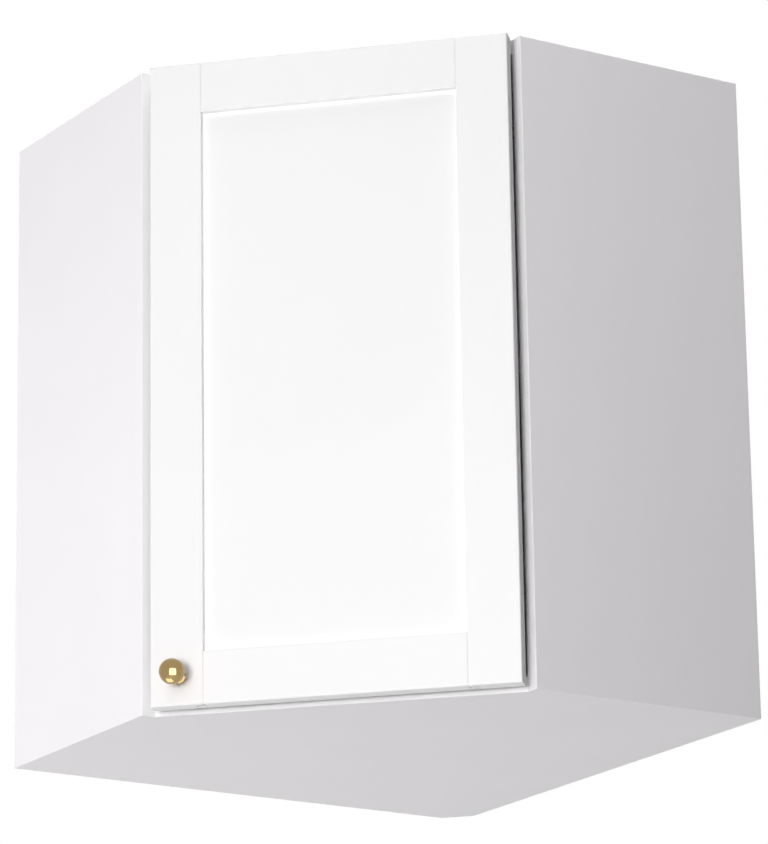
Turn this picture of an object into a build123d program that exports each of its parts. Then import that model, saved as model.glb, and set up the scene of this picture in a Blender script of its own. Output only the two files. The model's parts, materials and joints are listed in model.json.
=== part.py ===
from build123d import *
import math
import os

# Corner wall cabinet with a diagonal front and one framed door, hung in the corner of a room.
# Millimetres. The two walls are the planes X = 0 (left) and Y = 0 (right), and the origin is
# the corner of the room at the height of the cabinet's underside. +Z is up, and the door
# faces along +X -Y. The front frame is the room frame turned 45 degrees about +Z: there X
# runs along the front to the right, and -Y points out of the door. The side panels end
# square to the walls, so only their outer corners come near the door.

# ---- carcass: driving dimensions ----
wall_leg = 585.0            # length of the cabinet along each wall
height = 720.0
side_depth = 287.0          # from the wall to the outer front corner of a side panel
board = 16.0                # thickness of the panels
rear_corner_cut = 27.0      # leg of the cut across the rear corner
edging = 1.0                # strip glued on each front edge
outer_edge_round = 0.8      # rounding of the edges round the outer faces
back_board = 3.0            # thickness of the two back panels
back_inset = 18.0           # from each wall to the rear face of its back panel
back_groove_depth = 7.5
back_groove_play = 0.2      # on each side of a back panel
back_engagement = 7.0       # how far a back panel reaches into its grooves
post_board = 16.0           # thickness of the post across the rear corner
post_groove_end = 24.6      # distance from the wall at which the post's grooves end

# ---- door: driving dimensions ----
door_width = 396.0
door_thickness = 18.0
door_gap = 2.5              # between the door and the outer front corners of the side panels
door_end_gap = 3.0          # bare carcass above and below the door
hinge_side_bare = 10.6      # from the door's hinge edge to the outer front corner beside it
stile_width = 57.0
rail_width = 57.0
door_round = 2.0            # rounding of the door's outer front edges
joint_bevel = 0.5           # bevel at each end of a rail, seen as a fine line
frame_inner_round = 0.8
panel_recess = 7.0          # from the front of the frame to the front of the panel
door_panel_thickness = 6.0
frame_groove_depth = 9.0
frame_groove_play = 0.1
tongue_length = 8.0         # of the panel and the rails in the frame's grooves

# ---- knob ----
knob_from_edge = 30.0       # centre of the knob from the door's free edge
knob_from_bottom = 31.0     # and from the door's lower edge
knob_ball_radius = 13.7
knob_ball_out = 24.0        # centre of the ball from the face of the door
knob_stem_radius = 7.0
knob_foot_radius = 8.5
knob_foot_height = 2.0
knob_hole_depth = 16.0
knob_thread_play = 0.05
knob_screw_head_radius = 4.0
knob_screw_head_height = 1.5
screw_radius = 2.0
screw_play = 0.15
screw_head_radius = 3.6
screw_head_height = 1.2
screw_slot = 0.8            # width and depth of the slots in screw heads

# ---- shelf ----
shelf_side_play = 1.0
shelf_back_play = 1.5
shelf_setback = 22.0        # from the front edge of the bottom panel
pin_radius = 2.5
pin_hole_play = 0.05
pin_hole_depth = 10.5
pin_length = 9.5            # part of a pin inside its hole
pin_head_radius = 3.5
pin_head_length = 7.0
pin_rest_gap = 0.05
pin_line = 37.0             # from the front or rear edge of a side panel to its line of holes
pin_pitch = 32.0
pin_spare_holes = 2         # free holes above and below each pin

# ---- joints of the panels ----
cam_radius = 7.4
cam_hole_play = 0.1
cam_depth = 12.4
cam_from_edge = 34.0        # centre of a cam from the edge of its panel
cam_slot = 2.0
cam_bolt_radius = 3.4
cam_bolt_play = 0.1
cam_bolt_in_side = 11.0
cam_places = (70.0, 232.0)  # from the wall
dowel_radius = 4.0
dowel_play = 0.05
dowel_in_panel = 19.0
dowel_in_side = 10.0
dowel_end_play = 0.5
dowel_places = (38.0, 200.0)
post_dowel_spread = 9.6     # of the post's dowels, each side of its middle along each wall

# ---- hinges ----
hinge_from_end = 100.0      # middle of each hinge from the end of the carcass
cup_radius = 17.5
cup_depth = 11.5
cup_wall = 1.0
cup_from_edge = 22.5        # centre of a cup from the door's hinge edge
cup_play = 0.1
flange_thickness = 1.0
flange_half_height = 29.0
flange_half_width = 12.0
cup_screw_spacing = 45.0
arm_pivot = (40.4, 1.7)     # back along the front, and in, from the outer corner
cup_pivot = (19.6, 6.1)     # back along the front, and out, from the outer corner
hinge_pin_radius = 1.5
hinge_pin_play = 0.05
link_eye_radius = 2.3
link_bar = 3.0             # thickness of the bent bar
link_half_height = 3.5
link_knee = (6.4, 3.1)      # from the cup pivot: back along the front, and out
ear_thickness = 1.6
ear_play = 0.3
arm_eye_radius = 3.2
arm_length = 104.0
arm_slot_length = 26.0
plate_thickness = 2.5
plate_half_height = 26.0
plate_depth = 20.0
plate_ridge_half_height = 5.0
plate_line = 37.0           # screw line of a mounting plate behind the side panel's front edge
plate_screw_spacing = 32.0
plate_screw_in_side = 10.0  # reach of a mounting plate's screw into the side panel
cup_screw_head_height = 0.8
cup_screw_in_door = 12.0    # reach of a cup's screw into the door
plate_tail = 30.0           # reach of a mounting plate's ridge behind its screw line
arm_screw_radius = 2.5
arm_screw_pitch = 20.0      # from the clamping screw, on the plate's screw line, to the depth screw
arm_screw_depth = 3.0       # reach of those screws into the plate's ridge

# ---- hangers ----
hanger_thickness = 14.0
hanger_depth = 42.0
hanger_height = 58.0
hanger_below_top = 6.0      # top of a hanger below the top panel
hanger_screw_height = 22.0  # of its fixing screws above the housing's lower end
hanger_gap = 0.5            # between a hanger and its back panel
hanger_wall = 2.0
hook_thickness = 3.0
hook_height = 24.0
hook_drop = 29.0            # from the top of the housing to the underside of the hook
hook_window_room = 3.0      # round the hook in the back panel
hook_lip = 14.0
hook_play = 0.3
rail_plate_width = 60.0
rail_plate_height = 56.0
rail_plate_thickness = 2.0
rail_stand_off = 6.0        # from the wall to the rear of the raised lip
rail_lip_height = 22.0
rail_from_side = 2.0
wall_hole_radius = 3.25
wall_hole_spacing = 36.0
wall_hole_height = 14.0     # of the hole line above the plate's lower edge
adjuster_radius = 3.0
adjuster_length = 4.0
adjuster_spread = 10.0      # of the two adjusting screws, each side of the housing's middle
adjuster_height = 10.0      # above the housing's lower end
hanger_screw_in_side = 12.0 # reach of a fixing screw into the side panel
hanger_screw_inset = 6.0    # from the housing's front and rear edges
cover_thickness = 1.5
cover_rim = 4.0             # depth of the cover's rim over the housing
cover_play = 0.1

# ---- worked out from the above ----
hinge_heights = (hinge_from_end, height - hinge_from_end)
shelf_height = (height - board) / 2             # underside of the shelf, in the middle
pin_height = shelf_height - pin_head_radius - pin_rest_gap
root2 = math.sqrt(2.0)
inner_leg = wall_leg - board                    # wall to the inner face of a side panel
front_sum = inner_leg + side_depth              # X - Y on the front of the level panels
front_distance = front_sum / root2              # from the room's corner to that front
corner_distance = (wall_leg + side_depth) / root2  # and to the outer front corners
corner_half = (wall_leg - side_depth) / root2   # half the distance between those corners
core_sum = front_sum - edging * root2           # X - Y on the level panels' own front edges
side_core_depth = side_depth - edging
back_front = back_inset + back_board            # wall to the inner face of a back panel
post_sum = rear_corner_cut + post_board * root2
door_right = corner_half - hinge_side_bare
door_left = door_right - door_width
door_back = corner_distance + door_gap
door_front = door_back + door_thickness
door_bottom = door_end_gap
door_top = height - door_end_gap
groove_front = door_front - panel_recess
groove_back = groove_front - door_panel_thickness


def front_to_room(shape):
    """Turn a shape from the front frame into the room frame."""
    return Rot(0, 0, 45) * shape


def mirrored(shape):
    """The same shape on the other leg: swaps the two walls."""
    return mirror(shape, about=Plane((0, 0, 0), z_dir=(1, 1, 0)))


def block(x0, x1, y0, y1, z0, z1):
    """A box from its limits on each axis."""
    size = (abs(x1 - x0), abs(y1 - y0), abs(z1 - z0))
    return Pos((x0 + x1) / 2, (y0 + y1) / 2, (z0 + z1) / 2) * Box(*size)


def prism(points, z0, z1):
    """A board of constant plan between two heights."""
    return Pos(0, 0, z0) * extrude(make_face(Polyline(*points, close=True)), z1 - z0)


def rod(start, direction, radius, length):
    """A cylinder from a start point along a direction."""
    plane = Plane(origin=start, z_dir=direction)
    return extrude(plane * Circle(radius), length)


def group(*shapes):
    """Several separate solids in one node."""
    return Compound(children=[solid for shape in shapes for solid in shape.solids()])


# ---- panels ----

def side_core():
    """Right side panel, before any holes. Its front edge is cut square."""
    panel = block(inner_leg, wall_leg, -side_core_depth, 0, 0, height)
    rim = panel.faces().sort_by(Axis.X)[-1].edges()
    rim = rim.filter_by(lambda edge: edge.center().Y > edging - side_core_depth)
    return fillet(rim, outer_edge_round)


def pin_lines():
    """Y of the two lines of shelf pin holes on the right side panel."""
    return (pin_line - side_depth, -back_front - pin_line)


def pin_hole_heights():
    """Heights of every hole in one line: the pin's own, and spare ones above and below."""
    steps = range(-pin_spare_holes, pin_spare_holes + 1)
    return [pin_height + step * pin_pitch for step in steps]


def right_side_panel():
    """Side panel with all holes that the two sides share."""
    panel = side_core()
    panel -= back_groove_right()
    for y in pin_lines():
        for z in pin_hole_heights():
            panel -= into_side(y, z, pin_radius + pin_hole_play, pin_hole_depth)
    for z in (board / 2, height - board / 2):
        for place in cam_places:
            depth = cam_bolt_in_side + dowel_end_play
            panel -= into_side(-place, z, cam_bolt_radius + cam_bolt_play, depth)
        for place in dowel_places:
            depth = dowel_in_side + dowel_end_play
            panel -= into_side(-place, z, dowel_radius + dowel_play, depth)
    for y in hanger_screw_y():
        panel -= into_side(y, hanger_screw_z(), screw_radius + screw_play, hanger_screw_in_side + screw_play)
    return panel


def into_side(y, z, radius, depth):
    """A hole into the inner face of the right side panel."""
    return rod((inner_leg, y, z), (1, 0, 0), radius, depth)


def hinge_screw_holes():
    """Holes of the mounting plate screws, in the right side panel only."""
    depth = plate_screw_in_side + screw_play
    return [
        into_side(plate_centre_y(), z, screw_radius + screw_play, depth)
        for z in plate_screw_heights()
    ]


def back_groove_right():
    """Groove for the right back panel, over every panel that holds it."""
    return block(
        post_groove_end, inner_leg + back_groove_depth,
        -back_front - back_groove_play, -back_inset + back_groove_play,
        board - back_groove_depth, height - board + back_groove_depth,
    )


def level_panel(z0):
    """Top or bottom panel, from wall to wall between the side panels."""
    right = (inner_leg, inner_leg - core_sum)
    left = (core_sum - inner_leg, -inner_leg)
    plan = [
        (rear_corner_cut, 0), (inner_leg, 0), right, left,
        (0, -inner_leg), (0, -rear_corner_cut),
    ]
    panel = prism(plan, z0, z0 + board)
    panel -= back_groove_right()
    panel -= mirrored(back_groove_right())
    middle = z0 + board / 2
    for place in cam_places:
        cuts = cam_cuts(place, z0, middle)
        panel -= cuts
        panel -= mirrored(cuts)
    for place in dowel_places:
        start = (inner_leg - dowel_in_panel - dowel_end_play, -place, middle)
        hole = rod(start, (1, 0, 0), dowel_radius + dowel_play, dowel_in_panel + dowel_end_play)
        panel -= hole
        panel -= mirrored(hole)
    for hole in post_dowel_cuts(z0):
        panel -= hole
    return panel


def cam_cuts(place, z0, middle):
    """Cam hole in the upper face, and the hole for its bolt from the panel's edge."""
    cam_x = inner_leg - cam_from_edge
    well = rod((cam_x, -place, z0 + board), (0, 0, -1), cam_radius + cam_hole_play, cam_depth)
    bore = rod((cam_x, -place, middle), (1, 0, 0), cam_bolt_radius + cam_bolt_play, cam_from_edge)
    return well + bore


def cam_lock(place, z0):
    """Round cam with a screwdriver slot, open towards its bolt."""
    cam_x = inner_leg - cam_from_edge
    top = z0 + board
    cam = rod((cam_x, -place, top), (0, 0, -1), cam_radius, cam_depth)
    cam -= block(
        cam_x - cam_radius, cam_x + cam_radius,
        -place - cam_slot / 2, -place + cam_slot / 2,
        top - cam_slot, top,
    )
    radius = cam_bolt_radius + cam_bolt_play
    cam -= rod((cam_x, -place, z0 + board / 2), (1, 0, 0), radius, 2 * cam_radius)
    return cam


def cam_bolt(place, z0):
    """Bolt from the cam through the joint into the side panel."""
    start = (inner_leg - cam_from_edge + cam_bolt_play, -place, z0 + board / 2)
    return rod(start, (1, 0, 0), cam_bolt_radius, cam_from_edge + cam_bolt_in_side)


def panel_dowel(place, z0):
    start = (inner_leg - dowel_in_panel, -place, z0 + board / 2)
    return rod(start, (1, 0, 0), dowel_radius, dowel_in_panel + dowel_in_side)


def both_legs(make, places, z0):
    """The same fastener at each place on both legs of one panel."""
    right = [make(place, z0) for place in places]
    return group(*right, *[mirrored(shape) for shape in right])


# ---- rear corner post and backs ----

def post_dowel_points():
    """Plan positions of the post's two dowels, in the middle of its thickness."""
    middle = (rear_corner_cut + post_sum) / 4
    spread = post_dowel_spread
    return [(middle + side * spread, -middle + side * spread) for side in (-1, 1)]


def post_dowel_cuts(z0):
    """Blind holes for the post's dowels, on the side of the panel that meets the post."""
    face, way = (z0 + board, -1) if z0 < height / 2 else (z0, 1)
    depth = dowel_in_side + dowel_end_play
    radius = dowel_radius + dowel_play
    return [rod((x, y, face), (0, 0, way), radius, depth) for x, y in post_dowel_points()]


def corner_post():
    """Upright board across the rear corner, grooved for both back panels."""
    plan = [
        (rear_corner_cut, 0), (post_sum, 0),
        (0, -post_sum), (0, -rear_corner_cut),
    ]
    post = prism(plan, board, height - board)
    post -= back_groove_right()
    post -= mirrored(back_groove_right())
    radius = dowel_radius + dowel_play
    depth = dowel_in_panel + dowel_end_play
    for x, y in post_dowel_points():
        post -= rod((x, y, board), (0, 0, 1), radius, depth)
        post -= rod((x, y, height - board), (0, 0, -1), radius, depth)
    middle = post_sum / 2
    start = (middle, -middle, pin_height)
    return post - rod(start, (-1, 1, 0), pin_radius + pin_hole_play, pin_hole_depth)


def post_dowels():
    shapes = []
    for x, y in post_dowel_points():
        length = dowel_in_side + dowel_in_panel
        shapes.append(rod((x, y, board - dowel_in_side), (0, 0, 1), dowel_radius, length))
        shapes.append(rod((x, y, height - board + dowel_in_side), (0, 0, -1), dowel_radius, length))
    return group(*shapes)


def right_back_panel():
    """Thin panel in grooves, with a window for the hanger's hook."""
    end_clear = back_groove_depth - back_engagement
    panel = block(
        post_groove_end + end_clear, inner_leg + back_engagement,
        -back_front, -back_inset,
        board - back_engagement, height - board + back_engagement,
    )
    return panel - hook_window()


# ---- edging ----

def side_edging():
    """Strip on the front edge of the right side panel, rounded at its outer corner."""
    strip = block(inner_leg, wall_leg, -side_depth, -side_core_depth, 0, height)
    uprights = strip.edges().filter_by(Axis.Z)
    front_edge = max(uprights, key=lambda edge: edge.center().X - edge.center().Y)
    return fillet(front_edge, edging / 2)


def level_edging(z0, front_half_length, distance):
    """Strip along the front edge of a top, bottom or shelf board."""
    strip = block(
        -front_half_length, front_half_length,
        -distance, -distance + edging,
        z0, z0 + board,
    )
    return front_to_room(strip)


def level_edging_half():
    """Half the length of the front edge between the two side panels."""
    return (2 * inner_leg - front_sum) / root2


# ---- shelf ----

def shelf():
    """Loose five-sided shelf with its rear corner cut to clear the post."""
    back = back_front + shelf_back_play
    side = inner_leg - shelf_side_play
    cut = post_sum + shelf_back_play * root2
    front = core_sum - shelf_setback * root2
    plan = [
        (cut - back, -back), (side, -back), (side, side - front),
        (front - side, -side), (back, -side), (back, back - cut),
    ]
    return prism(plan, shelf_height, shelf_height + board)


def shelf_edging():
    distance = front_distance - shelf_setback
    half = (2 * (inner_leg - shelf_side_play) - front_sum + shelf_setback * root2) / root2
    return level_edging(shelf_height, half, distance)


def shelf_pin(start, direction):
    """Pin in its hole with a wider round head for the shelf to lie on."""
    into = rod(start, direction, pin_radius, pin_length)
    away = tuple(-part for part in direction)
    return into + rod(start, away, pin_head_radius, pin_head_length)


def shelf_pins():
    """Two pins in each side panel and one in the rear post."""
    right = [shelf_pin((inner_leg, y, pin_height), (1, 0, 0)) for y in pin_lines()]
    middle = post_sum / 2
    rear = shelf_pin((middle, -middle, pin_height), (-1, 1, 0))
    return group(*right, *[mirrored(pin) for pin in right], rear)


# ---- hangers ----

def hanger_top():
    return height - board - hanger_below_top


def hook_bottom():
    return hanger_top() - hook_drop


def hanger_x():
    """Limits of a hanger across the cabinet, against the side panel."""
    return inner_leg - hanger_thickness, inner_leg


def hook_x():
    low, high = hanger_x()
    middle = (low + high) / 2
    return middle - hook_thickness / 2, middle + hook_thickness / 2


def hook_window():
    """Window in the back panel that the hook passes through."""
    low, high = hook_x()
    return block(
        low - hook_window_room, high + hook_window_room,
        -back_front - hook_window_room, -back_inset + hook_window_room,
        hook_bottom() - hook_lip - hook_window_room, hook_bottom() + hook_height + hook_window_room,
    )


def hanger_rear():
    return -back_front - hanger_gap


def hanger_screw_y():
    rear = hanger_rear()
    return rear - hanger_screw_inset, rear - hanger_depth + hanger_screw_inset


def hanger_screw_z():
    return hanger_top() - hanger_height + hanger_screw_height


def hanger_housing():
    """Moulded housing on the side panel, open at the rear for the hook."""
    low, high = hanger_x()
    rear = hanger_rear()
    top = hanger_top()
    shell = block(low, high, rear - hanger_depth, rear, top - hanger_height, top)
    room_low, room_high = hook_x()
    shell -= block(
        room_low - hook_play, room_high + hook_play,
        rear - hanger_depth + hanger_wall, rear,
        hook_bottom(), hook_bottom() + hook_height + hook_play,
    )
    for x, y, z in adjuster_points():
        shell -= rod((x, y, z), (1, 0, 0), adjuster_radius + screw_play, adjuster_length)
    for y in hanger_screw_y():
        start = (low, y, hanger_screw_z())
        shell -= rod(start, (1, 0, 0), screw_radius + screw_play, hanger_thickness)
        shell -= rod(start, (1, 0, 0), screw_head_radius + screw_play, screw_head_height)
    return shell


def hanger_screws():
    """The two fixing screws of one hanger, sunk into its housing."""
    shapes = []
    for y in hanger_screw_y():
        start = (hanger_x()[0], y, hanger_screw_z())
        shank = rod(start, (1, 0, 0), screw_radius, hanger_thickness + hanger_screw_in_side)
        head = rod(start, (1, 0, 0), screw_head_radius, screw_head_height)
        shapes.append(shank + head - cross_slot(start))
    return group(*shapes)


def cross_slot(start):
    """Cross slot in a screw head that faces away from the right side panel."""
    x, y, z = start
    reach = screw_head_radius - screw_slot
    half = screw_slot / 2
    flat = block(x, x + screw_slot, y - reach, y + reach, z - half, z + half)
    upright = block(x, x + screw_slot, y - half, y + half, z - reach, z + reach)
    return flat + upright


def hanger_cover():
    """Cap that slips over the housing's inner face."""
    low = hanger_x()[0]
    rear = hanger_rear()
    top = hanger_top()
    bottom = top - hanger_height
    outer = cover_play + cover_thickness
    cap = block(
        low - cover_thickness, low + cover_rim,
        rear - hanger_depth - outer, rear,
        bottom - outer, top + outer,
    )
    return cap - block(
        low, low + cover_rim,
        rear - hanger_depth - cover_play, rear,
        bottom - cover_play, top + cover_play,
    )


def hanger_hook():
    """Steel hook: a flat strip that drops behind the raised lip of the wall plate."""
    low, high = hook_x()
    bottom = hook_bottom()
    front = hanger_rear() - hanger_depth + hanger_wall + hook_play
    gap_front = -rail_stand_off + hook_play
    gap_back = -rail_plate_thickness - hook_play
    strip = block(low, high, front, gap_back, bottom, bottom + hook_height)
    return strip + block(low, high, gap_front, gap_back, bottom - hook_lip, bottom)


def adjuster_points():
    """Start points of the height and depth screws, on the hanger's inner face."""
    low = hanger_x()[0]
    middle = hanger_rear() - hanger_depth / 2
    z = hanger_top() - hanger_height + adjuster_height
    return [(low, middle - adjuster_spread, z), (low, middle + adjuster_spread, z)]


def hanger_adjusters():
    """Two cross-slotted adjusting screws in one hanger."""
    return group(*[
        rod(start, (1, 0, 0), adjuster_radius, adjuster_length) - cross_slot(start)
        for start in adjuster_points()
    ])


def wall_plate_bottom():
    """The hook hangs on the upper edge of the plate's lip."""
    return hook_bottom() - rail_plate_height


def wall_plate_x():
    high = inner_leg - rail_from_side
    return high - rail_plate_width, high


def wall_plate():
    """Pressed steel plate on the right wall, with a raised lip and two screw holes."""
    low, high = wall_plate_x()
    z0 = wall_plate_bottom()
    z1 = z0 + rail_plate_height
    step = z1 - rail_lip_height
    lip_front = -(rail_stand_off + rail_plate_thickness)
    plate = block(low, high, -rail_plate_thickness, 0, z0, z1)
    plate += block(low, high, lip_front, 0, step - rail_plate_thickness, step)
    plate += block(low, high, lip_front, -rail_stand_off, step, z1)
    for x in wall_hole_x():
        start = (x, -rail_plate_thickness, z0 + wall_hole_height)
        plate -= rod(start, (0, 1, 0), wall_hole_radius, rail_plate_thickness)
    return plate


def wall_hole_x():
    low, high = wall_plate_x()
    middle = (low + high) / 2
    return middle - wall_hole_spacing / 2, middle + wall_hole_spacing / 2


# ---- hinges, in the front frame unless a name says room ----

def arm_point():
    """Pivot between arm and link, in the front frame."""
    return corner_half - arm_pivot[0], -(corner_distance - arm_pivot[1])


def cup_point():
    """Pivot between link and cup, in the front frame."""
    return corner_half - cup_pivot[0], -(corner_distance + cup_pivot[1])


def room_point(point):
    """A plan point of the front frame in the room frame."""
    x, y = point
    return (x - y) / root2, (x + y) / root2


def plate_centre_y():
    return plate_line - side_depth


def plate_screw_heights():
    half = plate_screw_spacing / 2
    return [z + side * half for z in hinge_heights for side in (-1, 1)]


def link_knee_point():
    x, y = cup_point()
    return x - link_knee[0], y - link_knee[1]


def hinge_link(z):
    """Bent link with an eye at each end; the knee clears the cup's rim when open."""
    a, knee, c = arm_point(), link_knee_point(), cup_point()
    bar = trace(Polyline(a, knee, c), link_bar)
    outline = bar + Pos(*a) * Circle(link_eye_radius) + Pos(*c) * Circle(link_eye_radius)
    outline += Pos(*knee) * Circle(link_bar / 2)
    hole = hinge_pin_radius + hinge_pin_play
    outline -= Pos(*a) * Circle(hole)
    outline -= Pos(*c) * Circle(hole)
    link = extrude(outline, 2 * link_half_height)
    return front_to_room(Pos(0, 0, z - link_half_height) * link)


def ear_half_height():
    return link_half_height + ear_play + ear_thickness


def hinge_pin(point, z, half_height):
    x, y = point
    return front_to_room(rod((x, y, z - half_height), (0, 0, 1), hinge_pin_radius, 2 * half_height))


def cup_centre():
    return door_right - cup_from_edge


def hinge_cup(z):
    """Pressed cup with its flange on the back of the door and two ears for the pin."""
    x = cup_centre()
    out = (0, -1, 0)
    cup = rod((x, -door_back, z), out, cup_radius, cup_depth)
    cup -= rod((x, -door_back, z), out, cup_radius - cup_wall, cup_depth - cup_wall)
    flange = block(
        x - flange_half_width, x + flange_half_width,
        -door_back, -door_back + flange_thickness,
        z - flange_half_height, z + flange_half_height,
    )
    ring = rod((x, -door_back, z), (0, 1, 0), cup_radius + flange_thickness, flange_thickness)
    cup += flange + ring
    cup -= rod((x, -door_back, z), (0, 1, 0), cup_radius - cup_wall, flange_thickness)
    cup += cup_ears(z)
    for hole_z in cup_screw_heights(z):
        radius = screw_radius + screw_play
        cup -= rod((x, -door_back, hole_z), (0, 1, 0), radius, flange_thickness)
    px, py = cup_point()
    hole = hinge_pin_radius + hinge_pin_play
    cup -= rod((px, py, z - ear_half_height()), (0, 0, 1), hole, 2 * ear_half_height())
    return front_to_room(cup)


def cup_ears(z):
    """Two lugs from the floor of the cup to the pin, one each side of the link."""
    px, py = cup_point()
    floor = -(door_back + cup_depth - cup_wall / 2)
    ears = None
    inner = link_half_height + ear_play
    for side in (-1, 1):
        z0 = z + side * inner
        z1 = z + side * ear_half_height()
        lug = block(px - link_eye_radius, px + link_eye_radius, floor, py, z0, z1)
        lug += rod((px, py, min(z0, z1)), (0, 0, 1), link_eye_radius, ear_thickness)
        ears = lug if ears is None else ears + lug
    return ears


def cup_screw_heights(z):
    half = cup_screw_spacing / 2
    return z - half, z + half


def cup_screws():
    """Wood screws of both cups, in the front frame like the cups."""
    shapes = []
    for z in hinge_heights:
        for hole_z in cup_screw_heights(z):
            under_head = (cup_centre(), -door_back + flange_thickness, hole_z)
            reach = flange_thickness + cup_screw_in_door
            shank = rod(under_head, (0, -1, 0), screw_radius, reach)
            head = rod(under_head, (0, 1, 0), screw_head_radius, cup_screw_head_height)
            shapes.append(front_to_room(shank + head))
    return group(*shapes)


def arm_face():
    """X of the arm's face towards the middle of the cabinet, in the room frame."""
    return room_point(arm_point())[0] - arm_eye_radius


def ridge_top():
    """X of the mounting plate's ridge, which the arm lies on, in the room frame."""
    return room_point(arm_point())[0] + arm_eye_radius


def hinge_arm(z):
    """Straight arm along the side panel, forked at the front for the link. Room frame."""
    px, py = room_point(arm_point())
    half = ear_half_height()
    arm = block(arm_face(), ridge_top(), py, py + arm_length, z - half, z + half)
    arm += rod((px, py, z - half), (0, 0, 1), arm_eye_radius, 2 * half)
    inner = link_half_height + ear_play
    arm -= block(
        arm_face(), ridge_top(),
        py - arm_eye_radius, py + arm_slot_length,
        z - inner, z + inner,
    )
    hole = hinge_pin_radius + hinge_pin_play
    arm -= rod((px, py, z - half), (0, 0, 1), hole, 2 * half)
    for y in arm_screw_places():
        radius = arm_screw_radius + screw_play
        arm -= rod((arm_face(), y, z), (1, 0, 0), radius, 2 * arm_eye_radius)
    return arm


def arm_screw_places():
    """Y of the clamping screw and the depth screw."""
    first = plate_centre_y()
    return first, first + arm_screw_pitch


def mounting_plate(z):
    """Cross-shaped plate with a ridge under the arm. Room frame."""
    y = plate_centre_y()
    plate = block(
        inner_leg - plate_thickness, inner_leg,
        y - plate_depth / 2, y + plate_depth / 2,
        z - plate_half_height, z + plate_half_height,
    )
    plate += block(
        ridge_top(), inner_leg,
        y - plate_depth / 2, y + plate_tail,
        z - plate_ridge_half_height, z + plate_ridge_half_height,
    )
    for side in (-1, 1):
        start = (inner_leg - plate_thickness, y, z + side * plate_screw_spacing / 2)
        plate -= rod(start, (1, 0, 0), screw_radius + screw_play, plate_thickness)
    for screw_y in arm_screw_places():
        radius = arm_screw_radius + screw_play
        plate -= rod((ridge_top(), screw_y, z), (1, 0, 0), radius, arm_screw_depth + screw_play)
    return plate


def plate_screws():
    """Screws of both mounting plates."""
    shapes = []
    for z in plate_screw_heights():
        face = inner_leg - plate_thickness
        reach = plate_thickness + plate_screw_in_side
        shank = rod((face, plate_centre_y(), z), (1, 0, 0), screw_radius, reach)
        top = (face - screw_head_height, plate_centre_y(), z)
        head = rod(top, (1, 0, 0), screw_head_radius, screw_head_height)
        shapes.append(shank + head - cross_slot(top))
    return group(*shapes)


def arm_screws():
    """Clamping and depth screws of both arms."""
    shapes = []
    for z in hinge_heights:
        for y in arm_screw_places():
            reach = 2 * arm_eye_radius + arm_screw_depth
            shank = rod((arm_face(), y, z), (1, 0, 0), arm_screw_radius, reach)
            top = (arm_face() - screw_head_height, y, z)
            head = rod(top, (1, 0, 0), screw_head_radius, screw_head_height)
            shapes.append(shank + head - cross_slot(top))
    return group(*shapes)


# ---- door, in the front frame ----

def stile(x0, x1, outer_x):
    """Upright of the door frame with a groove along its inner edge."""
    post = block(x0, x1, -door_front, -door_back, door_bottom, door_top)
    front = post.faces().sort_by(Axis.Y)[0]
    inner_x = x0 + x1 - outer_x
    outer = [edge for edge in front.edges() if abs(edge.center().X - inner_x) > joint_bevel]
    post = fillet(outer, door_round)
    inner = [
        edge for edge in post.faces().sort_by(Axis.Y)[0].edges()
        if abs(edge.center().X - inner_x) < joint_bevel
    ]
    post = chamfer(inner, joint_bevel)
    inward = 1 if inner_x > outer_x else -1
    groove_x = inner_x - inward * frame_groove_depth
    return post - frame_groove(groove_x, inner_x, door_bottom, door_top)


def frame_groove(x0, x1, z0, z1):
    return block(
        x0, x1,
        -groove_front - frame_groove_play, -groove_back + frame_groove_play,
        z0, z1,
    )


def rail(z0, z1, outer_z):
    """Cross rail between the stiles, with tongues in their grooves."""
    x0 = door_left + stile_width
    x1 = door_right - stile_width
    body = block(x0, x1, -door_front, -door_back, z0, z1)
    front = body.faces().sort_by(Axis.Y)[0]
    outer = [edge for edge in front.edges() if abs(edge.center().Z - outer_z) < joint_bevel]
    body = fillet(outer, door_round)
    front = body.faces().sort_by(Axis.Y)[0]
    inner_z = z0 + z1 - outer_z
    inner = [edge for edge in front.edges() if abs(edge.center().Z - inner_z) < joint_bevel]
    body = fillet(inner, frame_inner_round)
    front = body.faces().sort_by(Axis.Y)[0]
    ends = [
        edge for edge in front.edges()
        if min(abs(edge.center().X - x0), abs(edge.center().X - x1)) < joint_bevel
    ]
    body = chamfer(ends, joint_bevel)
    inward = 1 if inner_z > outer_z else -1
    groove_z = inner_z - inward * frame_groove_depth
    body -= frame_groove(x0, x1, groove_z, inner_z)
    low, high = sorted((outer_z + inward * door_round, groove_z))
    tongue = block(
        x0 - tongue_length, x1 + tongue_length,
        -groove_front, -groove_back,
        low, high,
    )
    return body + tongue


def door_panel():
    """Flat panel that floats in the grooves of the frame."""
    return block(
        door_left + stile_width - tongue_length, door_right - stile_width + tongue_length,
        -groove_front, -groove_back,
        door_bottom + rail_width - tongue_length, door_top - rail_width + tongue_length,
    )


def hinge_stile():
    """Right stile with the holes for the hinge cups and their screws."""
    post = stile(door_right - stile_width, door_right, door_right)
    x = cup_centre()
    for z in hinge_heights:
        post -= rod((x, -door_back, z), (0, -1, 0), cup_radius + cup_play, cup_depth + cup_play)
        for hole_z in cup_screw_heights(z):
            depth = cup_screw_in_door + screw_play
            post -= rod((x, -door_back, hole_z), (0, -1, 0), screw_radius + screw_play, depth)
    return post


def knob_centre():
    return door_left + knob_from_edge, door_bottom + knob_from_bottom


def knob_stile():
    """Left stile with the hole for the knob's screw."""
    post = stile(door_left, door_left + stile_width, door_left)
    x, z = knob_centre()
    return post - rod((x, -door_back, z), (0, -1, 0), screw_radius + screw_play, door_thickness)


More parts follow.
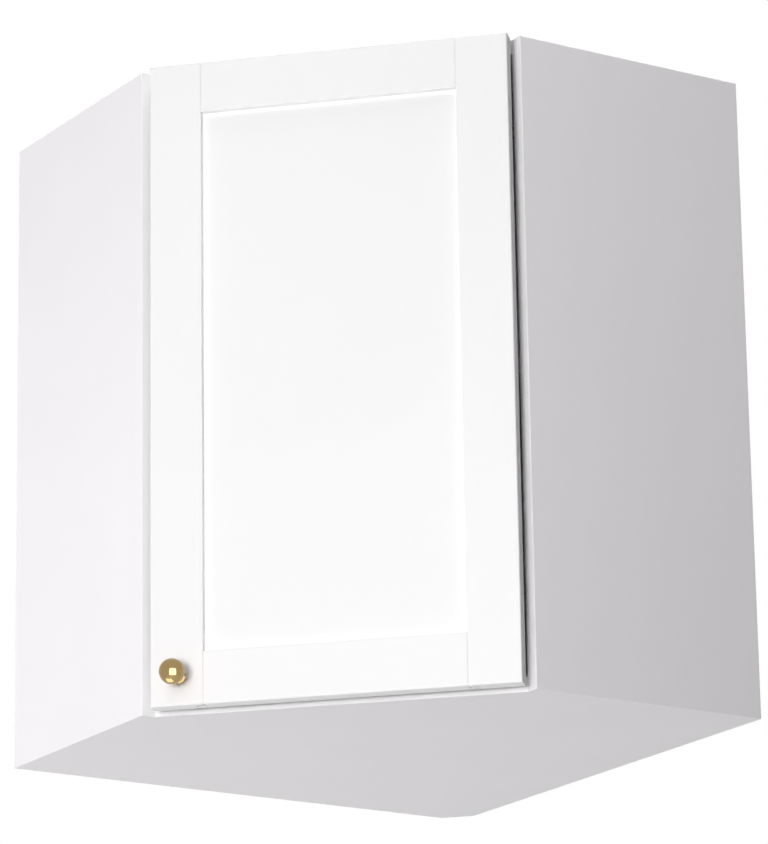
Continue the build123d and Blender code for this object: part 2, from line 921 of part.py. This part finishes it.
def knob():
    """Turned ball knob on a short stem with a spread foot."""
    ball = Pos(knob_ball_out, 0) * Circle(knob_ball_radius)
    stem = Pos(knob_ball_out / 2, 0) * Rectangle(knob_ball_out, 2 * knob_stem_radius)
    foot = Pos(knob_foot_height / 2, 0) * Rectangle(knob_foot_height, 2 * knob_foot_radius)
    reach = knob_ball_out + knob_ball_radius
    upper_half = Pos(reach / 2, reach / 2) * Rectangle(reach, reach)
    solid = revolve((ball + stem + foot) & upper_half, Axis.X)
    solid -= rod((0, 0, 0), (1, 0, 0), screw_radius + knob_thread_play, knob_hole_depth)
    x, z = knob_centre()
    return Pos(x, -door_front, z) * Rot(0, 0, -90) * solid


def knob_screw():
    """Machine screw from the back of the stile into the knob."""
    x, z = knob_centre()
    length = door_thickness + knob_hole_depth - screw_play
    shank = rod((x, -door_back, z), (0, -1, 0), screw_radius, length)
    head = rod((x, -door_back, z), (0, 1, 0), knob_screw_head_radius, knob_screw_head_height)
    return shank + head


# ---- all nodes ----

def build():
    nodes = {}
    right_side = right_side_panel()
    nodes["left_side_panel"] = mirrored(right_side)
    for hole in hinge_screw_holes():
        right_side -= hole
    nodes["right_side_panel"] = right_side
    for name, z0 in (("bottom", 0.0), ("top", height - board)):
        nodes[name + "_panel"] = level_panel(z0)
        nodes[name + "_edge_strip"] = level_edging(z0, level_edging_half(), front_distance)
        nodes[name + "_cam_locks"] = both_legs(cam_lock, cam_places, z0)
        nodes[name + "_cam_bolts"] = both_legs(cam_bolt, cam_places, z0)
        nodes[name + "_dowels"] = both_legs(panel_dowel, dowel_places, z0)
    nodes["right_edge_strip"] = side_edging()
    nodes["left_edge_strip"] = mirrored(side_edging())
    nodes["corner_post"] = corner_post()
    nodes["corner_post_dowels"] = post_dowels()
    nodes["right_back_panel"] = right_back_panel()
    nodes["left_back_panel"] = mirrored(right_back_panel())
    nodes["shelf"] = shelf()
    nodes["shelf_edge_strip"] = shelf_edging()
    nodes["shelf_pins"] = shelf_pins()
    for side, place in (("right", lambda shape: shape), ("left", mirrored)):
        nodes[side + "_hanger_housing"] = place(hanger_housing())
        nodes[side + "_hanger_hook"] = place(hanger_hook())
        nodes[side + "_hanger_adjusters"] = place(hanger_adjusters())
        nodes[side + "_hanger_screws"] = place(hanger_screws())
        nodes[side + "_hanger_cover"] = place(hanger_cover())
        nodes[side + "_wall_plate"] = place(wall_plate())
    for name, z in zip(("lower", "upper"), hinge_heights):
        nodes[name + "_hinge_plate"] = mounting_plate(z)
        nodes[name + "_hinge_arm"] = hinge_arm(z)
        nodes[name + "_hinge_arm_pin"] = hinge_pin(arm_point(), z, ear_half_height())
        nodes[name + "_hinge_link"] = hinge_link(z)
        nodes[name + "_hinge_cup"] = hinge_cup(z)
        nodes[name + "_hinge_cup_pin"] = hinge_pin(cup_point(), z, ear_half_height())
    nodes["hinge_plate_screws"] = plate_screws()
    nodes["hinge_arm_screws"] = arm_screws()
    nodes["hinge_cup_screws"] = cup_screws()
    nodes["door_left_stile"] = front_to_room(knob_stile())
    nodes["door_right_stile"] = front_to_room(hinge_stile())
    nodes["door_bottom_rail"] = front_to_room(rail(door_bottom, door_bottom + rail_width, door_bottom))
    nodes["door_top_rail"] = front_to_room(rail(door_top - rail_width, door_top, door_top))
    nodes["door_panel"] = front_to_room(door_panel())
    nodes["door_knob"] = front_to_room(knob())
    nodes["door_knob_screw"] = front_to_room(knob_screw())
    return nodes


os.makedirs("parts", exist_ok=True)
for node_name, node_shape in build().items():
    export_step(node_shape, "parts/" + node_name + ".step")
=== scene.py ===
import bmesh
import bpy
import json
import math
from mathutils import Matrix, Vector


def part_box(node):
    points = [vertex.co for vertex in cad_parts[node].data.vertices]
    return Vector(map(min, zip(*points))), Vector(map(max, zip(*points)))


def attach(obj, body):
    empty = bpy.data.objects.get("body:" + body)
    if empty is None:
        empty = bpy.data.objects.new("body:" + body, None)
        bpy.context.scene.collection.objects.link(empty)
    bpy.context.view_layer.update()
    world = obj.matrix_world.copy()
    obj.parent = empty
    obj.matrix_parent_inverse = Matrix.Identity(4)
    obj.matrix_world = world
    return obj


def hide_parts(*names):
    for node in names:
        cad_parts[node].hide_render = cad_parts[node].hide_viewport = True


# Looks of a corner wall cabinet: white boards, a white framed door and a brass ball knob.
# Metres, in the room frame of the model: the walls are X = 0 and Y = 0, +Z is up, and the
# door faces along +X -Y.

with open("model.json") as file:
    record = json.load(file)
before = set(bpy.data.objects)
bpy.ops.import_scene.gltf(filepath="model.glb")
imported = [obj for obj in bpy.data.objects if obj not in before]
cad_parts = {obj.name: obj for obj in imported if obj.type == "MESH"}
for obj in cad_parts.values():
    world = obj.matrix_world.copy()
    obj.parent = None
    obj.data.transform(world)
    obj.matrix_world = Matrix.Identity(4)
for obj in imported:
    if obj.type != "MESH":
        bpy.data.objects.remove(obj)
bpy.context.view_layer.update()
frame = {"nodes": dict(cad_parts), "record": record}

MM = 0.001
ROOT_TWO = 2 ** 0.5

# ---- view of the photograph ----
IMAGE_HEIGHT = 844              # pixels, the longer side of the image
FOCAL_PIXELS = 4590.0           # focal length in those pixels
SENSOR = 36.0                   # millimetres, along the longer side
CAMERA_PLACE = Vector((4.3867, -2.8757, -1.1050))
CAMERA_AZIMUTH = 57.65          # degrees round from -Y towards +X
CAMERA_ELEVATION = -16.87       # below the object, so it looks up
CAMERA_ROLL = -0.92
CAMERA_REACH = 100.0

# ---- stage ----
OBJECT_MIDDLE = Vector((0.30, -0.30, 0.36))
FLOOR_HEIGHT = -3.4
FLOOR_SIZE = 60.0
FLOOR_GREYS = (0.86, 0.88)
FLOOR_GLOW = 0.85               # share of plain white in what the eye and mirrors see of the floor
SKY_STRENGTH = 0.06             # light of the world on surfaces
BACKDROP_STRENGTH = 1.0         # the world to the eye and in mirrors: plain white
CATCH_LIGHT_ASIDE = 6.0         # degrees to the right of the camera's direction
CATCH_LIGHT_BELOW = 5.0         # degrees below it

# ---- boards ----
RAW_EDGE_DEPTH = 0.4 * MM       # how near the walls a face has to be to be a raw rear edge
CORNER_CUT = 27.0 * MM          # legs of the cut at the rear corner
BACK_FACE_LIMIT = 0.5           # how squarely a face of the hardboard looks at the wall
WALL_PLATES = ("left_wall_plate", "right_wall_plate")

# ---- edges, for wear and for the painted highlight on steel, by the cosine between a point's true and softened normals ----
EDGE_TURN = (0.80, 0.98)        # full edge up to the first, plain face from the second

# ---- painted shade in the joints of the door's frame and above its bottom rail ----
DOOR_MIDDLE = 2.12 * MM         # beside the upright plane that halves the corner of the room
DOOR_MIDDLE_HEIGHT = 360.0 * MM
DOOR_PANEL_HALF_WIDTH = 141.0 * MM
DOOR_PANEL_HALF_HEIGHT = 300.0 * MM
SHADE_LINE_SPREAD = (0.6 * MM, 1.6 * MM)  # in height or X + Y: full up to the first, gone at the second
UPRIGHT_JOINT_SHADE = 1.0
RAIL_EDGE_SHADE = 0.5

# ---- knob: the model's ball, stem and foot, with a waist and eased edges ----
KNOB_AXIS = Vector((1.0, -1.0, 0.0)).normalized()
KNOB_SIDES = 96
KNOB_BALL_OUT = 24.0 * MM
KNOB_STEM_RADIUS = 7.0 * MM
KNOB_WAIST_RADIUS = 5.6 * MM
KNOB_FOOT_RADIUS = 8.5 * MM
KNOB_FOOT_HEIGHT = 2.0 * MM
KNOB_FOOT_ROUND = 0.8 * MM
KNOB_FOOT_EASE = 0.2 * MM
KNOB_ROUND_STEPS = 8
KNOB_STEM_STEPS = 16
KNOB_BALL_STEPS = 64
WELD_DISTANCE = 0.001 * MM


# ---- materials ----

class Paint:
    """A node material while it is being put together."""

    def __init__(self, name):
        self.material = bpy.data.materials.new(name)
        self.material.use_nodes = True
        self.nodes = self.material.node_tree.nodes
        self.links = self.material.node_tree.links
        self.shader = self.nodes["Principled BSDF"]
        coordinates = self.add("TexCoord")
        self.place = coordinates.outputs["Object"]
        self.normal = coordinates.outputs["Normal"]

    def add(self, kind):
        return self.nodes.new("ShaderNode" + kind)

    def stretched(self, scales):
        """The place with each axis scaled, for grain that runs one way."""
        node = self.add("VectorMath")
        node.operation = "MULTIPLY"
        node.inputs[1].default_value = scales
        self.links.new(self.place, node.inputs[0])
        return node.outputs["Vector"]

    def noise(self, scale, detail=3.0, roughness=0.5, place=None):
        node = self.add("TexNoise")
        node.inputs["Scale"].default_value = scale
        node.inputs["Detail"].default_value = detail
        node.inputs["Roughness"].default_value = roughness
        self.links.new(place or self.place, node.inputs["Vector"])
        return node.outputs["Fac"]

    def cells(self, scale, place=None):
        """A grey level for each cell of a cracked pattern."""
        node = self.add("TexVoronoi")
        node.inputs["Scale"].default_value = scale
        self.links.new(place or self.place, node.inputs["Vector"])
        return self.part(node.outputs["Color"], "X")

    def colors(self, factor, low, high, start=0.3, end=0.7):
        """Spread a factor between two colours."""
        node = self.add("ValToRGB")
        node.color_ramp.elements[0].position = start
        node.color_ramp.elements[1].position = end
        node.color_ramp.elements[0].color = (*low, 1.0)
        node.color_ramp.elements[1].color = (*high, 1.0)
        self.links.new(factor, node.inputs["Fac"])
        return node.outputs["Color"]

    def numbers(self, factor, low, high, start=0.3, end=0.7):
        """Spread a factor between two numbers."""
        node = self.add("MapRange")
        node.inputs["From Min"].default_value = start
        node.inputs["From Max"].default_value = end
        node.inputs["To Min"].default_value = low
        node.inputs["To Max"].default_value = high
        self.links.new(factor, node.inputs["Value"])
        return node.outputs["Result"]

    def reckon(self, operation, first, second=0.0):
        """A sum of one value or two, each a socket or a number."""
        node = self.add("Math")
        node.operation = operation
        for socket, value in zip(node.inputs, (first, second)):
            if isinstance(value, (int, float)):
                socket.default_value = value
            else:
                self.links.new(value, socket)
        return node.outputs["Value"]

    def part(self, vector, axis):
        """The X, Y or Z of a vector, or the red, green or blue of a colour."""
        node = self.add("SeparateXYZ")
        self.links.new(vector, node.inputs["Vector"])
        return node.outputs[axis]

    def blend(self, factor, first, second):
        """The first colour where the factor is 0, the second where it is 1."""
        node = self.add("Mix")
        node.data_type = "RGBA"
        self.links.new(factor, node.inputs["Factor"])
        self.links.new(first, node.inputs["A"])
        self.links.new(second, node.inputs["B"])
        return node.outputs["Result"]

    def edges(self, radius):
        """1 along the edges of the piece, 0 on its faces."""
        soft = self.add("Bevel")
        soft.samples = 4
        soft.inputs["Radius"].default_value = radius
        true = self.add("NewGeometry")
        dot = self.add("VectorMath")
        dot.operation = "DOT_PRODUCT"
        self.links.new(soft.outputs["Normal"], dot.inputs[0])
        self.links.new(true.outputs["Normal"], dot.inputs[1])
        return self.numbers(dot.outputs["Value"], 1.0, 0.0, *EDGE_TURN)

    def color(self, socket):
        self.links.new(socket, self.shader.inputs["Base Color"])

    def roughness(self, socket):
        self.links.new(socket, self.shader.inputs["Roughness"])

    def worn_roughness(self, factor, low, high, edge, wear):
        """Roughness spread by a factor, and lower by wear along edges as wide as edge."""
        rubbed = self.reckon("MULTIPLY", self.edges(edge), wear)
        self.roughness(self.reckon("SUBTRACT", self.numbers(factor, low, high), rubbed))

    def set(self, name, value):
        self.shader.inputs[name].default_value = value

    def bump(self, height, distance, strength=1.0):
        node = self.add("Bump")
        node.inputs["Strength"].default_value = strength
        node.inputs["Distance"].default_value = distance
        self.links.new(height, node.inputs["Height"])
        self.links.new(node.outputs["Normal"], self.shader.inputs["Normal"])


def darker(color, share):
    return tuple(share * value for value in color)


def chipboard(paint):
    """Colour and height of a sawn chipboard edge: pressed flakes, with pores in the height."""
    flakes = paint.cells(scale=420.0, place=paint.stretched((1.0, 1.0, 1.8)))
    tone = paint.colors(flakes, (0.36, 0.25, 0.14), (0.66, 0.52, 0.34), start=0.1, end=0.9)
    pores = paint.noise(scale=1500.0, detail=4.0, roughness=0.7)
    return tone, paint.reckon("ADD", flakes, pores)


def rear_edges(paint):
    """1 on what lies at the walls or in the cut corner of the boards, 0 elsewhere."""
    x = paint.part(paint.place, "X")
    depth = paint.reckon("MULTIPLY", paint.part(paint.place, "Y"), -1.0)
    at_left_wall = paint.reckon("LESS_THAN", x, RAW_EDGE_DEPTH)
    at_back_wall = paint.reckon("LESS_THAN", depth, RAW_EDGE_DEPTH)
    at_walls = paint.reckon("MAXIMUM", at_left_wall, at_back_wall)
    from_corner = paint.reckon("ADD", x, depth)
    at_cut = paint.reckon("LESS_THAN", from_corner, CORNER_CUT + RAW_EDGE_DEPTH)
    return paint.reckon("MAXIMUM", at_walls, at_cut)


def melamine_board():
    """White melamine on chipboard: a fine pearl bump, faint mottling, bare edges at the walls."""
    paint = Paint("white_melamine")
    white = (0.885, 0.865, 0.885)
    face = paint.colors(paint.noise(scale=7.0, detail=4.0), darker(white, 0.985), white)
    pearl = paint.noise(scale=850.0, detail=2.0)
    sawn, flakes = chipboard(paint)
    raw = rear_edges(paint)
    paint.color(paint.blend(raw, face, sawn))
    paint.worn_roughness(pearl, low=0.38, high=0.46, edge=0.5 * MM, wear=0.08)
    rough_edge = paint.reckon("MULTIPLY", flakes, raw)
    height = paint.reckon("ADD", pearl, paint.reckon("MULTIPLY", rough_edge, 4.0))
    paint.bump(height, distance=0.04 * MM, strength=0.5)
    return paint.material


def edge_strip():
    """White plastic edging: smoother than the boards, with faint upright lines."""
    paint = Paint("white_edging")
    white = (0.945, 0.935, 0.945)
    lines = paint.noise(scale=1.0, detail=3.0, place=paint.stretched((1400.0, 1400.0, 12.0)))
    paint.color(paint.colors(lines, darker(white, 0.985), white))
    paint.worn_roughness(lines, low=0.30, high=0.37, edge=0.4 * MM, wear=0.06)
    paint.bump(lines, distance=0.01 * MM, strength=0.4)
    return paint.material


def painted_shade_line(paint, distance, strength):
    """A line of painted shade of that strength where the distance is 0, gone a little way off on
    both sides.
    """
    return paint.numbers(paint.reckon("ABSOLUTE", distance), strength, 0.0, *SHADE_LINE_SPREAD)


def painted_joint_shade(paint):
    """How strong the painted shade is: in the upright joints at the rails, and along the bottom
    rail's upper edge.
    """
    # X + Y grows by the root of two for each metre across the door
    across = paint.reckon("ADD", paint.part(paint.place, "X"), paint.part(paint.place, "Y"))
    aside = paint.reckon("ABSOLUTE", paint.reckon("SUBTRACT", across, ROOT_TWO * DOOR_MIDDLE))
    past_panel = paint.reckon("SUBTRACT", aside, ROOT_TWO * DOOR_PANEL_HALF_WIDTH)
    height = paint.reckon("SUBTRACT", paint.part(paint.place, "Z"), DOOR_MIDDLE_HEIGHT)
    above_rail = paint.reckon("ADD", height, DOOR_PANEL_HALF_HEIGHT)
    from_middle = paint.reckon("ABSOLUTE", height)
    at_rails = paint.reckon("GREATER_THAN", from_middle, DOOR_PANEL_HALF_HEIGHT)
    at_panel = paint.reckon("LESS_THAN", past_panel, 0.0)
    # painted shade lines: in the upright joints at the rails, and on the panel just above the
    # bottom rail
    upright = painted_shade_line(paint, past_panel, UPRIGHT_JOINT_SHADE)
    level = painted_shade_line(paint, above_rail, RAIL_EDGE_SHADE)
    upright = paint.reckon("MULTIPLY", upright, at_rails)
    level = paint.reckon("MULTIPLY", level, at_panel)
    return paint.reckon("MAXIMUM", upright, level)


def lacquer():
    """Sprayed satin lacquer of the door: a slight orange peel, with painted shade in the frame's
    joints and along the bottom rail's upper edge.
    """
    paint = Paint("white_lacquer")
    white = (0.915, 0.905, 0.91)
    paint.set("Specular IOR Level", 0.35)
    mottling = paint.noise(scale=5.0, detail=3.0)
    face = paint.colors(mottling, darker(white, 0.99), white)
    # darker lacquer that paints the shade in the joints and above the bottom rail
    joint_shade = paint.colors(mottling, darker(white, 0.89), darker(white, 0.91))
    paint.color(paint.blend(painted_joint_shade(paint), face, joint_shade))
    peel = paint.noise(scale=240.0, detail=2.0)
    paint.worn_roughness(peel, low=0.38, high=0.46, edge=0.6 * MM, wear=0.06)
    paint.bump(peel, distance=0.03 * MM, strength=0.5)
    return paint.material


def hardboard():
    """Thin hardboard backs: painted white inside, brown pressed fibre towards the wall."""
    paint = Paint("white_hardboard")
    white = (0.86, 0.85, 0.85)
    painted = paint.colors(paint.noise(scale=14.0, detail=4.0), darker(white, 0.98), white)
    fibre = paint.noise(scale=700.0, detail=6.0, roughness=0.7)
    brown = paint.colors(fibre, (0.16, 0.085, 0.04), (0.34, 0.20, 0.11))
    to_left_wall = paint.reckon("LESS_THAN", paint.part(paint.normal, "X"), -BACK_FACE_LIMIT)
    to_back_wall = paint.reckon("GREATER_THAN", paint.part(paint.normal, "Y"), BACK_FACE_LIMIT)
    behind = paint.reckon("MAXIMUM", to_left_wall, to_back_wall)
    paint.color(paint.blend(behind, painted, brown))
    paint.roughness(paint.numbers(behind, low=0.50, high=0.85, start=0.0, end=1.0))
    relief = paint.numbers(behind, low=0.15, high=1.0, start=0.0, end=1.0)
    paint.bump(paint.reckon("MULTIPLY", fibre, relief), distance=0.12 * MM, strength=0.6)
    return paint.material


def beech():
    """Turned beech: fine level grain with short dark flecks."""
    paint = Paint("beech")
    grain_place = paint.stretched((300.0, 300.0, 1500.0))
    grain = paint.noise(scale=1.0, detail=4.0, roughness=0.6, place=grain_place)
    paint.color(paint.colors(grain, (0.46, 0.30, 0.17), (0.66, 0.48, 0.30)))
    paint.roughness(paint.numbers(grain, low=0.55, high=0.70))
    paint.bump(grain, distance=0.08 * MM, strength=0.5)
    return paint.material


def plastic():
    """Moulded white plastic of the hangers: a fine spark-eroded grain."""
    paint = Paint("white_plastic")
    white = (0.80, 0.80, 0.79)
    grain = paint.noise(scale=2200.0, detail=2.0)
    paint.color(paint.colors(paint.noise(scale=40.0), darker(white, 0.97), white))
    paint.worn_roughness(grain, low=0.44, high=0.56, edge=0.5 * MM, wear=0.12)
    paint.bump(grain, distance=0.03 * MM, strength=0.5)
    return paint.material


def plated_steel():
    """Nickel plate with fine drawn lines; along the edges smoother where it is rubbed, and lighter,
    partly rubbed plate and partly a painted highlight.
    """
    paint = Paint("nickel_plated_steel")
    paint.set("Metallic", 1.0)
    line_place = paint.stretched((900.0, 900.0, 90.0))
    drawn = paint.noise(scale=1.0, detail=4.0, roughness=0.6, place=line_place)
    # edges: smoother where rubbed, and lighter in colour, partly rubbed plate and partly a painted
    # highlight
    edge_wear_and_highlight = paint.edges(0.4 * MM)
    lines_wear_and_highlight = paint.reckon("ADD", drawn, paint.reckon("MULTIPLY", edge_wear_and_highlight, 0.3))
    paint.color(paint.colors(lines_wear_and_highlight, (0.50, 0.49, 0.47), (0.66, 0.65, 0.62)))
    paint.roughness(paint.numbers(lines_wear_and_highlight, low=0.36, high=0.22))
    paint.bump(drawn, distance=0.01 * MM, strength=0.4)
    return paint.material


def galvanised_steel():
    """Zinc with its crystal patches."""
    paint = Paint("galvanised_steel")
    paint.set("Metallic", 1.0)
    crystals = paint.cells(scale=160.0)
    zinc = paint.colors(crystals, (0.44, 0.45, 0.46), (0.60, 0.61, 0.62), start=0.0, end=1.0)
    paint.color(zinc)
    paint.roughness(paint.numbers(crystals, low=0.34, high=0.50, start=0.0, end=1.0))
    paint.bump(paint.noise(scale=900.0, detail=4.0), distance=0.01 * MM, strength=0.4)
    return paint.material


def polished_brass():
    """Lacquered polished brass: nearly a mirror, with faint clouding and a very fine grain."""
    paint = Paint("polished_brass")
    gold = (0.37, 0.26, 0.115)
    paint.set("Metallic", 1.0)
    cloud = paint.noise(scale=120.0, detail=4.0, roughness=0.6)
    paint.color(paint.colors(cloud, darker(gold, 0.93), gold))
    paint.roughness(paint.numbers(cloud, low=0.07, high=0.12))
    paint.bump(paint.noise(scale=900.0, detail=2.0), distance=0.004 * MM, strength=0.3)
    return paint.material


def coat_nodes(material, names):
    """Put a material on carried-over nodes."""
    for name in names:
        node = frame["nodes"][name]
        if not node.material_slots:
            node.data.materials.append(material)
        for slot in node.material_slots:
            slot.material = material


def finish_model():
    """Give every carried-over node the finish of its material slot, and the wall plates zinc."""
    finishes = {
        "white_board": melamine_board(),
        "white_lacquer": lacquer(),
        "white_edging": edge_strip(),
        "white_hardboard": hardboard(),
        "white_plastic": plastic(),
        "steel": plated_steel(),
        "polished_brass": polished_brass(),
        "beech": beech(),
    }
    for entry in frame["record"]["subparts"]:
        coat_nodes(finishes[entry["material_slot"]], [entry["node"]])
    coat_nodes(galvanised_steel(), WALL_PLATES)
    return finishes


# ---- knob ----

def lathe(name, profile, foot, axis):
    """A turned piece: profile is (distance along the axis, radius), from the foot to a pole."""
    side = axis.cross(Vector((0.0, 0.0, 1.0))).normalized()
    up = axis.cross(side)
    spokes = [2 * math.pi * step / KNOB_SIDES for step in range(KNOB_SIDES)]
    mesh = bmesh.new()
    rings = []
    for along, radius in profile:
        offsets = [radius * (math.cos(angle) * side + math.sin(angle) * up) for angle in spokes]
        rings.append([mesh.verts.new(foot + along * axis + offset) for offset in offsets])
    for ring, following in zip(rings, rings[1:]):
        for step in range(KNOB_SIDES):
            after = (step + 1) % KNOB_SIDES
            mesh.faces.new((ring[step], ring[after], following[after], following[step]))
    mesh.faces.new(rings[0])
    bmesh.ops.remove_doubles(mesh, verts=mesh.verts, dist=WELD_DISTANCE)
    bmesh.ops.recalc_face_normals(mesh, faces=mesh.faces)
    for face in mesh.faces:
        face.smooth = len(face.verts) <= 4
    data = bpy.data.meshes.new(name)
    mesh.to_mesh(data)
    mesh.free()
    piece = bpy.data.objects.new(name, data)
    bpy.context.scene.collection.objects.link(piece)
    return piece


def arc(middle, height, radius, start, end, steps):
    """Profile points on a circle about (middle, height), by the angle from the axis."""
    points = []
    for step in range(steps + 1):
        angle = math.radians(start + (end - start) * step / steps)
        points.append((middle + radius * math.cos(angle), height + radius * math.sin(angle)))
    return points


def knob_profile(ball_radius):
    """Rounded foot, waisted stem and ball."""
    rim = KNOB_FOOT_HEIGHT - KNOB_FOOT_ROUND
    rim_radius = KNOB_FOOT_RADIUS - KNOB_FOOT_ROUND
    foot = [(0.0, KNOB_FOOT_RADIUS - KNOB_FOOT_EASE), (KNOB_FOOT_EASE, KNOB_FOOT_RADIUS)]
    foot += arc(rim, rim_radius, KNOB_FOOT_ROUND, 90.0, 0.0, KNOB_ROUND_STEPS)
    neck_angle = math.degrees(math.asin(KNOB_STEM_RADIUS / ball_radius))
    neck = KNOB_BALL_OUT - ball_radius * math.cos(math.radians(neck_angle))
    waist = []
    for step in range(KNOB_STEM_STEPS + 1):
        share = step / KNOB_STEM_STEPS
        along = KNOB_FOOT_HEIGHT + share * (neck - KNOB_FOOT_HEIGHT)
        drawn_in = math.sin(math.pi * share) * (KNOB_STEM_RADIUS - KNOB_WAIST_RADIUS)
        waist.append((along, KNOB_STEM_RADIUS - drawn_in))
    ball = arc(KNOB_BALL_OUT, 0.0, ball_radius, 180.0 - neck_angle, 0.0, KNOB_BALL_STEPS)
    return foot + waist + ball[1:]


def ball_knob(material):
    """The turned knob on the lower free corner of the door."""
    low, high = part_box("door_knob")
    radius = (high.z - low.z) / 2
    ball = Vector((high.x - radius, low.y + radius, low.z + radius))
    piece = lathe("ball_knob", knob_profile(radius), ball - KNOB_BALL_OUT * KNOB_AXIS, KNOB_AXIS)
    piece.data.materials.append(material)
    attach(piece, "door")
    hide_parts("door_knob")


# ---- stage, light and camera ----

def look_along(azimuth, elevation, roll=0.0):
    """Turn of a camera or light that looks towards the object from that side, in degrees."""
    azimuth, elevation, roll = (math.radians(angle) for angle in (azimuth, elevation, roll))
    forward = Vector((
        -math.sin(azimuth) * math.cos(elevation),
        math.cos(azimuth) * math.cos(elevation),
        -math.sin(elevation),
    ))
    right = Vector((math.cos(azimuth), math.sin(azimuth), 0.0))
    up = right.cross(forward)
    rolled_right = math.cos(roll) * right + math.sin(roll) * up
    rolled_up = math.cos(roll) * up - math.sin(roll) * right
    return Matrix((rolled_right, rolled_up, -forward)).transposed()


def add_camera():
    data = bpy.data.cameras.new("camera")
    data.sensor_width = SENSOR
    data.lens = FOCAL_PIXELS * SENSOR / IMAGE_HEIGHT
    data.clip_end = CAMERA_REACH
    camera = bpy.data.objects.new("camera", data)
    turn = look_along(CAMERA_AZIMUTH, CAMERA_ELEVATION, CAMERA_ROLL).to_4x4()
    camera.matrix_world = Matrix.Translation(CAMERA_PLACE) @ turn
    bpy.context.scene.collection.objects.link(camera)
    bpy.context.scene.camera = camera


def add_softbox(name, azimuth, elevation, distance, size, power, shades=True, reflected=False):
    """A square soft light that faces the object: it shades surfaces, shows in mirrors, or both."""
    data = bpy.data.lights.new(name, "AREA")
    data.shape = "SQUARE"
    data.size = size
    data.energy = power
    light = bpy.data.objects.new(name, data)
    turn = look_along(azimuth, elevation)
    place = OBJECT_MIDDLE + distance * turn.col[2]
    light.matrix_world = Matrix.Translation(place) @ turn.to_4x4()
    light.visible_camera = False
    light.visible_diffuse = shades
    light.visible_glossy = reflected
    bpy.context.scene.collection.objects.link(light)


def add_lights():
    """A key light left of the camera, weak fills, and a catch light that only gloss shows."""
    add_softbox("key", azimuth=41.0, elevation=-12.0, distance=5.0, size=1.3, power=136.0)
    add_softbox("front", azimuth=35.0, elevation=0.0, distance=1.6, size=1.0, power=5.8)
    add_softbox("left_fill", azimuth=-60.0, elevation=0.0, distance=2.6, size=1.8, power=37.0)
    add_softbox("from_above", azimuth=80.0, elevation=70.0, distance=2.2, size=1.4, power=19.0)
    add_softbox(
        "from_below",
        azimuth=300.0, elevation=-70.0, distance=2.2, size=1.4, power=14.0,
        reflected=True,
    )
    add_softbox(
        "catch_light",
        azimuth=CAMERA_AZIMUTH + CATCH_LIGHT_ASIDE, elevation=CAMERA_ELEVATION - CATCH_LIGHT_BELOW,
        distance=2.0, size=2.0, power=66.0,
        shades=False, reflected=True,
    )


def seen_rays(nodes, links):
    """1 for the rays of the eye, of mirrors and of glass, 0 for the light between surfaces."""
    path = nodes.new("ShaderNodeLightPath")
    seen = path.outputs["Is Camera Ray"]
    for ray in ("Is Glossy Ray", "Is Transmission Ray"):
        either = nodes.new("ShaderNodeMath")
        either.operation = "MAXIMUM"
        links.new(seen, either.inputs[0])
        links.new(path.outputs[ray], either.inputs[1])
        seen = either.outputs["Value"]
    return seen


def floor_material():
    """Pale matt floor that keeps a shadow but looks white to the eye and in mirrors."""
    paint = Paint("pale_floor")
    dark, pale = ((grey, grey, grey) for grey in FLOOR_GREYS)
    cloud = paint.noise(scale=0.8, detail=4.0)
    paint.color(paint.colors(cloud, dark, pale))
    paint.roughness(paint.numbers(cloud, low=0.65, high=0.75))
    paint.set("Emission Color", (1.0, 1.0, 1.0, 1.0))
    seen = seen_rays(paint.nodes, paint.links)
    glow = paint.numbers(seen, low=0.0, high=FLOOR_GLOW, start=0.0, end=1.0)
    paint.links.new(glow, paint.shader.inputs["Emission Strength"])
    return paint.material


def add_floor():
    mesh = bpy.data.meshes.new("floor")
    half = FLOOR_SIZE / 2
    corners = [(-half, -half), (half, -half), (half, half), (-half, half)]
    mesh.from_pydata([(x, y, FLOOR_HEIGHT) for x, y in corners], [], [(0, 1, 2, 3)])
    mesh.materials.append(floor_material())
    floor = bpy.data.objects.new("floor", mesh)
    bpy.context.scene.collection.objects.link(floor)


def add_world():
    """White background for the eye and for mirrors, an even soft light for the rest."""
    world = bpy.data.worlds.new("studio")
    bpy.context.scene.world = world
    world.use_nodes = True
    nodes, links = world.node_tree.nodes, world.node_tree.links
    background = nodes["Background"]
    background.inputs["Color"].default_value = (1.0, 1.0, 1.0, 1.0)
    strength = nodes.new("ShaderNodeMapRange")
    strength.inputs["To Min"].default_value = SKY_STRENGTH
    strength.inputs["To Max"].default_value = BACKDROP_STRENGTH
    links.new(seen_rays(nodes, links), strength.inputs["Value"])
    links.new(strength.outputs["Result"], background.inputs["Strength"])


finishes = finish_model()
ball_knob(finishes["polished_brass"])

add_camera()
add_floor()
add_world()
add_lights()

bpy.context.scene.view_settings.view_transform = "Standard"
